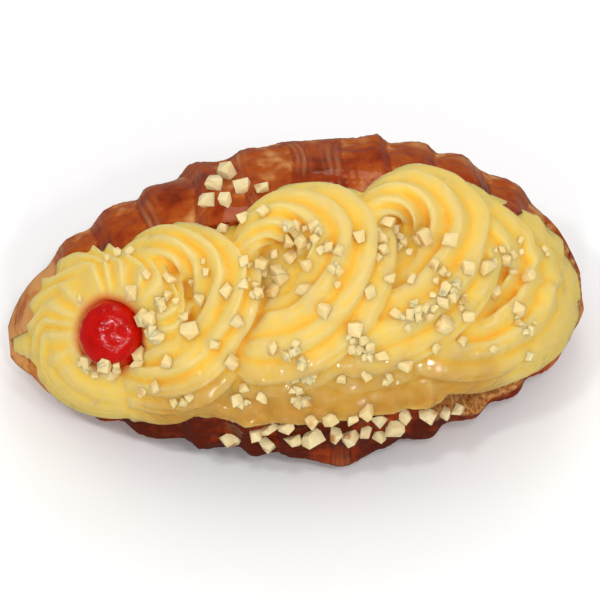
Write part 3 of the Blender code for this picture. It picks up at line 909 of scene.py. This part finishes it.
def chip(place, size, draw):
    """One nut: an uneven block with a corner cut off."""
    shape = bmesh.new()
    sides = Vector([draw.uniform(*NUT_STRETCH) for _ in range(3)]) * size / 2
    corners = [Vector((x, y, z)) * sides for x in (-1, 1) for y in (-1, 1) for z in (-1, 1)]
    chipped = corners.pop()
    corners += [chipped - Vector([size * NUT_CHIP * (k == axis) for k in range(3)]) for axis in range(3)]
    turn = Vector([draw.uniform(-1, 1) for _ in range(3)]).to_track_quat("Z", "Y")
    for corner in corners:
        uneven = Vector([draw.uniform(-NUT_UNEVENNESS, NUT_UNEVENNESS) * size for _ in range(3)])
        shape.verts.new(place + turn @ (corner + uneven))
    hull = bmesh.ops.convex_hull(shape, input=shape.verts)
    bmesh.ops.delete(shape, geom=hull["geom_interior"], context="VERTS")
    bmesh.ops.recalc_face_normals(shape, faces=shape.faces)
    mesh = bpy.data.meshes.new("chip")
    shape.to_mesh(mesh)
    shape.free()
    made = bpy.data.objects.new("chip", mesh)
    bpy.context.scene.collection.objects.link(made)
    return made


# %% Let the nuts fall
ABOVE_ALL = 90 * MM
CREAM_NUT_SHARE = 0.88
NUT_SINK = (0.25, 0.55)
CRUST_NUT_SINK = 0.15
NUT_LEAST_FACING = 0.15
NUT_CLEARANCE = 0.4


def tree_of(piece):
    """A search tree of a piece's mesh."""
    shape = bmesh.new()
    shape.from_mesh(piece.data)
    tree = BVHTree.FromBMesh(shape)
    shape.free()
    return tree


def landing(x, up, *names):
    """Which of the named pieces something falls on, at which point, and the normal there."""
    start = opening_point(x, up, ABOVE_ALL)
    hits = {name: trees[name].ray_cast(start, -OPENING_OUT) for name in names}
    carrier = min(hits, key=lambda name: hits[name][3] if hits[name][0] else math.inf)
    return carrier, hits[carrier][0], hits[carrier][1]


def lay_chip(carrier, place, normal, size, lift):
    """Cuts a nut whose middle stands off its carrier by a share of its size."""
    chips[carrier].append(chip(place + normal * size * lift, size, draw))


draw = random.Random(SEED)
trees = {"crust": tree_of(crust), "cream": tree_of(cream), "cherry": tree_of(cherry)}
chips = {"crust": [], "cream": []}
for x, up, size in nut_places():
    carrier, place, normal = landing(x, up, "crust", "cream")
    if place is None or normal.dot(OPENING_OUT) < NUT_LEAST_FACING:
        continue
    if (place - cherry_centre).length < CHERRY_RADIUS + size * NUT_CLEARANCE:
        continue
    sink = CRUST_NUT_SINK
    if carrier == "cream":
        sink = draw.uniform(*NUT_SINK)
        size *= CREAM_NUT_SHARE
    lay_chip(carrier, place, normal, size, 0.5 - sink)
print(len(chips["crust"]), "nuts on the crust and", len(chips["cream"]), "on the cream")

# %% Granules in clusters
GRANULE_SIZE = (1.1 * MM, 2.3 * MM)
GRANULE_TRIES = 900
GRANULE_ALONG = (-66 * MM, 72 * MM)
GRANULE_UP = (-38 * MM, 20 * MM)
GRANULE_CLUSTER = 11 * MM
GRANULE_LEAST = 0.23
GRANULE_LEAST_FACING = 0.5
GRANULE_CLEARANCE = 1.15
GRANULE_LIFT = 0.05
for _ in range(GRANULE_TRIES):
    x, up = draw.uniform(*GRANULE_ALONG), draw.uniform(*GRANULE_UP)
    size = draw.uniform(*GRANULE_SIZE)
    if noise.noise(Vector((x, up, 0)) / GRANULE_CLUSTER) < GRANULE_LEAST:
        continue
    carrier, place, normal = landing(x, up, "cream")
    if place is None or normal.dot(OPENING_OUT) < GRANULE_LEAST_FACING:
        continue
    if (place - cherry_centre).length < GRANULE_CLEARANCE * CHERRY_RADIUS:
        continue
    lay_chip(carrier, place, normal, size, GRANULE_LIFT)
print(len(chips["cream"]), "on the cream with the granules")

# %% Chips in the eyes and round the cherry
EYE_CHIPS = 7
EYE_REACH = (0.1, 1)
EYE_RADIUS = 9 * MM
EYE_CHIP_SIZE = (1.5 * MM, 3 * MM)
EYE_CHIP_LIFT = 0.1
for swirl in SWIRLS[1:4]:
    for _ in range(EYE_CHIPS):
        angle, reach = draw.uniform(0, 2 * math.pi), draw.uniform(*EYE_REACH) * EYE_RADIUS
        size = draw.uniform(*EYE_CHIP_SIZE)
        _, place, normal = landing(
            swirl.x + reach * math.cos(angle), swirl.up + reach * math.sin(angle), "cream"
        )
        lay_chip("cream", place, normal, size, EYE_CHIP_LIFT)

CHERRY_CHIPS = 15
CHERRY_CHIP_ANGLES = (-120, 45)
CHERRY_CHIP_REACH = (0.86, 1.25)
CHERRY_CHIP_SIZE = (1.8 * MM, 3.2 * MM)
CHERRY_CHIP_LIFT = 0.2
for _ in range(CHERRY_CHIPS):
    angle = math.radians(draw.uniform(*CHERRY_CHIP_ANGLES))
    reach = draw.uniform(*CHERRY_CHIP_REACH) * CHERRY_RADIUS
    size = draw.uniform(*CHERRY_CHIP_SIZE)
    _, place, normal = landing(
        ROSETTE.x + reach * math.cos(angle), ROSETTE.up + reach * math.sin(angle), "cream", "cherry"
    )
    lay_chip("cream", place, normal, size, CHERRY_CHIP_LIFT)
print(len(chips["cream"]), "on the cream in all")

# %% Join the nuts
NUT_BEVEL = 0.25 * MM
crust_nuts = join(chips["crust"], "nuts_on_crust")
cream_nuts = join(chips["cream"], "nuts_on_cream")
for nuts in (crust_nuts, cream_nuts):
    apply_modifier(nuts, "BEVEL", width=NUT_BEVEL, segments=2)
    nuts.data.shade_smooth()
    print(nuts.name, triangles(nuts), "triangles")


# %% [markdown]
# ## Finishes
#
# Every finish here has grain: the crust's blisters, the custard's curd, the cherry's skin. The grain is
# one effect, so it is one node group, built once with its size and depth as inputs. Each material places
# the group with its own values. The surface shader stays in the material, where its plain values are easy
# to find.


# %% Helpers for materials
def feed(tree, target, value):
    """Links a socket to an input, or sets the input to a value."""
    if isinstance(value, bpy.types.NodeSocket):
        tree.links.new(value, target)
    else:
        target.default_value = value


def node(tree, kind, values=(), **settings):
    """A node with its settings, and its inputs fed or set."""
    made = tree.nodes.new(kind)
    for key, value in settings.items():
        setattr(made, key, value)
    for key, value in dict(values).items():
        feed(tree, made.inputs[key], value)
    return made


def maths(tree, operation, *values, clamp=False):
    """One sum in a material."""
    made = node(tree, "ShaderNodeMath", dict(enumerate(values)), operation=operation, use_clamp=clamp)
    return made.outputs[0]


def ramp(tree, source, stops):
    """A colour ramp fed by a socket."""
    made = node(tree, "ShaderNodeValToRGB", {"Fac": source})
    elements = made.color_ramp.elements
    for (place, colour), element in zip((stops[0], stops[-1]), elements):
        element.position = place
        element.color = (*colour, 1)
    for place, colour in stops[1:-1]:
        elements.new(place).color = (*colour, 1)
    return made.outputs["Color"]


def mix(tree, share, first, second):
    """Mixes two colours."""
    made = node(tree, "ShaderNodeMix", data_type="RGBA")
    for socket, value in (("Factor", share), ("A", first), ("B", second)):
        feed(tree, [i for i in made.inputs if i.name == socket and i.enabled][0], value)
    return [o for o in made.outputs if o.enabled][0]


def shares_of(tree, name):
    """A piece's own numbers, as its material reads them."""
    return node(tree, "ShaderNodeAttribute", attribute_name=name).outputs["Fac"]


# %% Helper for node groups
def new_group(name, inputs, output):
    """A node group with its named sockets, and its input and output nodes."""
    group = bpy.data.node_groups.new(name, "ShaderNodeTree")
    for title, kind, value in inputs:
        group.interface.new_socket(name=title, in_out="INPUT", socket_type=kind).default_value = value
    group.interface.new_socket(name=output[0], in_out="OUTPUT", socket_type=output[1])
    return group, group.nodes.new("NodeGroupInput"), group.nodes.new("NodeGroupOutput")


# %% The grain and bumps groups
grain_group, given, result = new_group("grain", (
    ("Size", "NodeSocketFloat", 2 * MM),
    ("Detail", "NodeSocketFloat", 3),
    ("Stretch", "NodeSocketVector", (1, 1, 1)),
), ("Value", "NodeSocketFloat"))
place = node(grain_group, "ShaderNodeTexCoord").outputs["Object"]
factors = {0: place, 1: given.outputs["Stretch"]}
stretched = node(grain_group, "ShaderNodeVectorMath", factors, operation="MULTIPLY")
clouds = node(grain_group, "ShaderNodeTexNoise", {
    "Vector": stretched.outputs["Vector"],
    "Scale": maths(grain_group, "DIVIDE", 1.0, given.outputs["Size"]),
    "Detail": given.outputs["Detail"],
})
feed(grain_group, result.inputs["Value"], clouds.outputs["Fac"])

bumps_group, given, result = new_group("bumps", (
    ("Size", "NodeSocketFloat", 1 * MM),
    ("Depth", "NodeSocketFloat", 0.1 * MM),
), ("Normal", "NodeSocketVector"))
inner = node(bumps_group, "ShaderNodeGroup", node_tree=grain_group)
feed(bumps_group, inner.inputs["Size"], given.outputs["Size"])
bump = node(bumps_group, "ShaderNodeBump", {
    "Height": inner.outputs["Value"],
    "Distance": given.outputs["Depth"],
})
feed(bumps_group, result.inputs["Normal"], bump.outputs["Normal"])
print("node groups", [group.name for group in bpy.data.node_groups])

# %% Helpers for a finish
ROUGHNESS_GRAIN = 5 * MM


def grain(tree, size, detail=3.0, stretch=(1, 1, 1)):
    """The grain group in a material: a number from 0 to 1."""
    made = node(tree, "ShaderNodeGroup", node_tree=grain_group)
    for title, value in (("Size", size), ("Detail", detail), ("Stretch", stretch)):
        made.inputs[title].default_value = value
    return made.outputs["Value"]


def finish(name, piece, colour, roughness, bump_size, bump_depth, **values):
    """A material on a piece: colour, roughness and bumps from its nodes, and plain values on its surface."""
    material = bpy.data.materials.new(name)
    material.use_nodes = True
    tree = material.node_tree
    surface = tree.nodes["Principled BSDF"]
    for title, value in values.items():
        surface.inputs[title.replace("_", " ")].default_value = value
    feed(tree, surface.inputs["Base Color"], colour(tree))
    spread = node(tree, "ShaderNodeMapRange", {"Value": grain(tree, ROUGHNESS_GRAIN)})
    spread.inputs["To Min"].default_value, spread.inputs["To Max"].default_value = roughness
    feed(tree, surface.inputs["Roughness"], spread.outputs["Result"])
    made = node(tree, "ShaderNodeGroup", {"Size": bump_size, "Depth": bump_depth}, node_tree=bumps_group)
    feed(tree, surface.inputs["Normal"], made.outputs["Normal"])
    piece.data.materials.append(material)
    print("finish", name, "on", piece.name)
    return material


# %% [markdown]
# ### The crust's finish
#
# A baked crust isn't one brown. What stood proud of the oven's heat is dark, hollows stay golden, and the
# edges of the layers, which opened late, are pale. The share that each point was given while the dough
# was rolled picks its brown from a ramp, and the grain breaks it up. That share also holds a painted
# sheen, a golden band along the top of the back where light grazes the crust. The egg wash is a thin coat.

# %% Finish of the crust
CRUST_BROWNS = (
    (0.0, (0.66, 0.3, 0.09)),
    (0.3, (0.42, 0.083, 0.008)),
    (0.6, (0.3, 0.034, 0.002)),
    (0.95, (0.1, 0.009, 0.0002)),
)
CRUMB_TONES = (
    (0.3, (0.2, 0.05, 0.01)),
    (0.5, (0.46, 0.18, 0.045)),
    (0.7, (0.68, 0.38, 0.14)),
)
CRUMB_GRAIN = 1.4 * MM
BLOTCH_SIZE = 4 * MM
BLOTCH_SHARE = 0.8
STREAK_SIZE = 10 * MM
STREAK_STRETCH = (2.5, 1, 1)
STREAK_SHARE = 0.4
LAYER_TAN = (0.7, 0.4, 0.18, 1)
LAYER_SHARE = 0.5
LAYER_PATCH = 16 * MM
LAYER_CONTRAST = 5.0
LAYER_LEVEL = -2.4


def crust_colour(tree):
    """Browns by how hard a point is baked, a painted sheen, pale layer edges, and the crumb of the cut."""
    blotches = maths(tree, "MULTIPLY", grain(tree, BLOTCH_SIZE, 4), BLOTCH_SHARE)
    streaks = maths(tree, "MULTIPLY", grain(tree, STREAK_SIZE, 2, STREAK_STRETCH), STREAK_SHARE)
    # The kept share holds a painted sheen on the back's top as well as the baking.
    baked_and_sheen = maths(tree, "ADD", shares_of(tree, "baked_and_sheen"), maths(tree, "ADD", blotches, streaks))
    baked_and_sheen = maths(tree, "SUBTRACT", baked_and_sheen, (BLOTCH_SHARE + STREAK_SHARE) / 2)
    skin = ramp(tree, baked_and_sheen, CRUST_BROWNS)
    opened = maths(tree, "MULTIPLY_ADD", grain(tree, LAYER_PATCH), LAYER_CONTRAST, LAYER_LEVEL, clamp=True)
    layers = maths(tree, "MULTIPLY", shares_of(tree, "layers"), opened, clamp=True)
    skin = mix(tree, maths(tree, "MULTIPLY", layers, LAYER_SHARE), skin, LAYER_TAN)
    crumb_tone = ramp(tree, grain(tree, CRUMB_GRAIN), CRUMB_TONES)
    return mix(tree, shares_of(tree, "cut"), skin, crumb_tone)


finish("crust_baked", crust, crust_colour, roughness=(0.3, 0.6), bump_size=1.1 * MM, bump_depth=0.15 * MM,
       Specular_IOR_Level=0.02, Coat_Weight=0.55, Coat_Roughness=0.07)

# %% [markdown]
# ### The custard's finish
#
# Light enters custard and comes out again close by, which is why its grooves glow a deeper yellow and
# never look grey. Subsurface scattering gives the softness. The glow is also painted: the number that says
# how deep a point lies under its surroundings gives the deeper, slightly brighter yellow of the grooves and
# the orange of the hollows, and the syrup that ran down to the lip turns it amber there.

# %% Finish of the custard
# The custard's yellows from rib to groove, with a painted glow that makes the grooves deeper and brighter.
CUSTARD_YELLOWS_WITH_PAINTED_GLOW = (
    (0.15, (0.7, 0.515, 0.19)),
    (0.45, (0.78, 0.56, 0.14)),
    (0.75, (0.88, 0.59, 0.09)),
    (1.0, (0.94, 0.6, 0.07)),
)
CURD_SIZE = 6 * MM
CURD_SHARE = 0.4
# Painted glow in the hollows between the swirls, which also lightens their shade.
PAINTED_HOLLOW_GLOW = (0.94, 0.54, 0.05, 1)
PAINTED_HOLLOW_GLOW_SHARE = 0.55
SYRUP_AMBER = (0.54, 0.24, 0.015, 1)
AMBER_SHARE = 0.85
CHERRY_STAIN = (0.8, 0.2, 0.04, 1)
STAIN_REACH = (1.34 * CHERRY_RADIUS, CHERRY_RADIUS)
write_shares(cream, "stain", [
    smooth_between((vertex.co - cherry_centre).length, *STAIN_REACH) for vertex in cream.data.vertices
])


def custard_colour(tree):
    """Pale ribs, a painted glow deeper in the grooves and orange in the hollows, and amber under the syrup.
    """
    groove = maths(tree, "MULTIPLY_ADD", shares_of(tree, "groove"), 0.5, 0.5)
    curd = maths(tree, "MULTIPLY_ADD", grain(tree, CURD_SIZE), CURD_SHARE, -CURD_SHARE / 2)
    shade = ramp(tree, maths(tree, "ADD", groove, curd), CUSTARD_YELLOWS_WITH_PAINTED_GLOW)
    hollow = maths(tree, "MULTIPLY", shares_of(tree, "hollow"), PAINTED_HOLLOW_GLOW_SHARE, clamp=True)
    shade = mix(tree, hollow, shade, PAINTED_HOLLOW_GLOW)
    amber = maths(tree, "MULTIPLY", shares_of(tree, "syrup"), AMBER_SHARE)
    shade = mix(tree, amber, shade, SYRUP_AMBER)
    return mix(tree, shares_of(tree, "stain"), shade, CHERRY_STAIN)


custard = finish("custard", cream, custard_colour, roughness=(0.35, 0.6), bump_size=0.8 * MM,
                 bump_depth=0.08 * MM, Specular_IOR_Level=0.2, Coat_IOR=1.9, Coat_Roughness=0.03,
                 Subsurface_Weight=1.0, Subsurface_Radius=(1.0, 0.97, 0.6), Subsurface_Scale=0.007)

# %% [markdown]
# ### The syrup's finish
#
# The syrup is a clear smooth layer over matt custard, which is what the surface's coat is for. It lies
# thick along the lip and in a few small pools higher up, so the coat's weight follows the syrup's share
# and a grain. Its own ripples, larger than the custard's curd, break the lamps' reflections into short
# bright lines.

# %% Syrup on the custard
SYRUP_RIPPLE = 5 * MM
SYRUP_DISTORTION = 2.0
SYRUP_DEPTH = 1.0 * MM
LOW_SYRUP_GAIN = 3.0
POOL_SIZE = 9 * MM
POOL_CONTRAST = 6.0
POOL_LEVEL = -3.4
tree = custard.node_tree
surface = tree.nodes["Principled BSDF"]
pools = maths(tree, "MULTIPLY_ADD", grain(tree, POOL_SIZE), POOL_CONTRAST, POOL_LEVEL, clamp=True)
low = maths(tree, "MULTIPLY", shares_of(tree, "syrup"), LOW_SYRUP_GAIN)
feed(tree, surface.inputs["Coat Weight"], maths(tree, "ADD", low, pools, clamp=True))
ripples = node(tree, "ShaderNodeTexNoise", {
    "Vector": node(tree, "ShaderNodeTexCoord").outputs["Object"],
    "Scale": 1 / SYRUP_RIPPLE,
    "Distortion": SYRUP_DISTORTION,
})
ripples = node(tree, "ShaderNodeBump", {"Height": ripples.outputs["Fac"], "Distance": SYRUP_DEPTH})
feed(tree, surface.inputs["Coat Normal"], ripples.outputs["Normal"])
print("syrup's coat on", custard.name)

# %% [markdown]
# ### Cherry and nuts
#
# A candied cherry is a clear red jelly under a thin skin, so its red is deep and its gloss is sharp. Nuts
# are matt and pale, a little darker where a scrap of their skin is left.

# %% Finish of the cherry and the nuts
CHERRY_REDS = ((0.3, (0.42, 0.001, 0.0)), (0.7, (0.54, 0.003, 0.0)))
KERNEL_TONES = ((0.3, (0.72, 0.56, 0.27)), (0.7, (0.8, 0.68, 0.4)))
SKIN_BROWN = (0.45, 0.2, 0.06, 1)
SKIN_SCRAP = 5 * MM
SKIN_CONTRAST = 9.0
SKIN_LEVEL = -5.6
GLAZE_YELLOW = (0.86, 0.64, 0.25, 1)
GLAZE_SHARE = 0.4


def cherry_colour(tree):
    """Deep red with brighter patches."""
    return ramp(tree, grain(tree, 4 * MM), CHERRY_REDS)


def nut_colour(tree):
    """Pale kernel with a few scraps of brown skin."""
    kernel = ramp(tree, grain(tree, 2 * MM), KERNEL_TONES)
    skin = maths(tree, "MULTIPLY_ADD", grain(tree, SKIN_SCRAP, 1), SKIN_CONTRAST, SKIN_LEVEL, clamp=True)
    return mix(tree, skin, kernel, SKIN_BROWN)


def glazed_nut_colour(tree):
    """The same kernel under syrup, which makes it yellower."""
    return mix(tree, GLAZE_SHARE, nut_colour(tree), GLAZE_YELLOW)


finish("cherry_red", cherry, cherry_colour, roughness=(0.1, 0.25), bump_size=2.6 * MM, bump_depth=0.5 * MM,
       Specular_IOR_Level=0.25, Coat_Weight=0.2, Coat_Roughness=0.02,
       Subsurface_Weight=0.4, Subsurface_Radius=(1.0, 0.1, 0.05), Subsurface_Scale=0.002)
finish("nut_pale", crust_nuts, nut_colour, roughness=(0.45, 0.7), bump_size=0.6 * MM, bump_depth=0.1 * MM,
       Specular_IOR_Level=0.3)
finish("nut_glazed", cream_nuts, glazed_nut_colour, roughness=(0.2, 0.45), bump_size=0.6 * MM,
       bump_depth=0.1 * MM, Specular_IOR_Level=0.4,
       Subsurface_Weight=0.5, Subsurface_Radius=(1.0, 0.8, 0.4), Subsurface_Scale=0.002)

# %% [markdown]
# ## Floor, light and camera
#
# The food stands on a near white floor in soft light from all round, with bright glints where it is wet.
# One white world gives the soft light. Lamps of several kinds could give the glints, but only a small
# bright one shows as a sharp spot in gloss, so there are four of those, and one large one behind for a
# sheen on the crust. A white floor and a white world would also wash out the brown from below and lie as
# a grey veil over all that is glossy, so both are dimmer where they only light the food or show in its
# gloss.

# %% Floor
FLOOR_SIZE = 4
FLOOR_SEEN = 0.95
FLOOR_LIGHTING = 0.7
FLOOR_REFLECTED = 0.15


def grey(value):
    """A plain grey."""
    return (value, value, value, 1)


def floor_colour(tree):
    """Near white to the eye, greyer where it lights the food, and dark in the gloss, as a tray would be."""
    rays = node(tree, "ShaderNodeLightPath")
    hidden = mix(tree, rays.outputs["Is Glossy Ray"], grey(FLOOR_LIGHTING), grey(FLOOR_REFLECTED))
    return mix(tree, rays.outputs["Is Camera Ray"], hidden, grey(FLOOR_SEEN))


deselect()
bpy.ops.mesh.primitive_plane_add(size=FLOOR_SIZE, location=(0, 0, 0))
floor = bpy.context.object
floor.name = "floor"
finish("floor_pale", floor, floor_colour, roughness=(0.9, 1.0), bump_size=1 * MM, bump_depth=0,
       Specular_IOR_Level=0.0)

# %% Studio light
WORLD_LIGHTING = 0.74
WORLD_REFLECTED = 0.15
Softbox = namedtuple("Softbox", "name place size power")
SOFTBOXES = (
    Softbox("sheen", (0.1, 0.5, 0.7), 0.35, 0.8),
    Softbox("glint_front", (0.02, -0.5, 0.76), 0.07, 1.0),
    Softbox("glint_left", (-0.3, -0.3, 0.75), 0.07, 1.0),
    Softbox("glint_right", (0.25, -0.55, 0.7), 0.07, 0.9),
    Softbox("glint_low", (-0.1, -0.8, 0.4), 0.07, 0.9),
)


def add_softbox(box):
    """A square studio light, turned to the middle of the croissant."""
    bpy.ops.object.light_add(type="AREA", location=box.place)
    lamp = bpy.context.object
    lamp.name = box.name
    lamp.data.size = box.size
    lamp.data.energy = box.power
    outward = Vector(box.place) - Vector((0, 0, MIDDLE_Z))
    lamp.rotation_euler = outward.to_track_quat("Z", "Y").to_euler()


for box in SOFTBOXES:
    add_softbox(box)
world = bpy.data.worlds.new("studio")
bpy.context.scene.world = world
world.use_nodes = True
sky = world.node_tree.nodes["Background"]
sky.inputs["Color"].default_value = (1, 1, 1, 1)
rays = node(world.node_tree, "ShaderNodeLightPath")
dimmed = node(world.node_tree, "ShaderNodeMapRange", {
    "Value": rays.outputs["Is Glossy Ray"],
    "To Min": WORLD_LIGHTING,
    "To Max": WORLD_REFLECTED,
})
feed(world.node_tree, sky.inputs["Strength"], dimmed.outputs["Result"])
print("lamps", [box.name for box in SOFTBOXES])

# %% Camera
VIEW_AZIMUTH = math.radians(-6.5)
VIEW_ELEVATION = math.radians(50)
VIEW_DISTANCE = 1.0
VIEW_AIM = Vector((0, 2 * MM, MIDDLE_Z - 4 * MM))
PHOTO_WIDTH = 177.6 * MM
PHOTO_PLANE = 12 * MM
SENSOR_WIDTH = 36
back = Vector((
    math.sin(VIEW_AZIMUTH) * math.cos(VIEW_ELEVATION),
    -math.cos(VIEW_AZIMUTH) * math.cos(VIEW_ELEVATION),
    math.sin(VIEW_ELEVATION),
))
place = VIEW_AIM + back * VIEW_DISTANCE
bpy.ops.object.camera_add(location=place, rotation=back.to_track_quat("Z", "Y").to_euler())
camera = bpy.context.object
camera.data.sensor_width = SENSOR_WIDTH
camera.data.lens = SENSOR_WIDTH * (VIEW_DISTANCE + PHOTO_PLANE) / PHOTO_WIDTH
bpy.context.scene.camera = camera
bpy.context.scene.view_settings.view_transform = "Standard"
print("lens", round(camera.data.lens), "mm")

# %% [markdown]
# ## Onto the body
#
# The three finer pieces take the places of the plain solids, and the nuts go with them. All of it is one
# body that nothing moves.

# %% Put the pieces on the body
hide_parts("croissant")
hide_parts("cream")
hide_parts("cherry")
for piece, slot in (
    (crust, "crust"),
    (cream, "cream"),
    (cherry, "cherry"),
    (crust_nuts, "crust"),
    (cream_nuts, "cream"),
):
    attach(piece, "root")
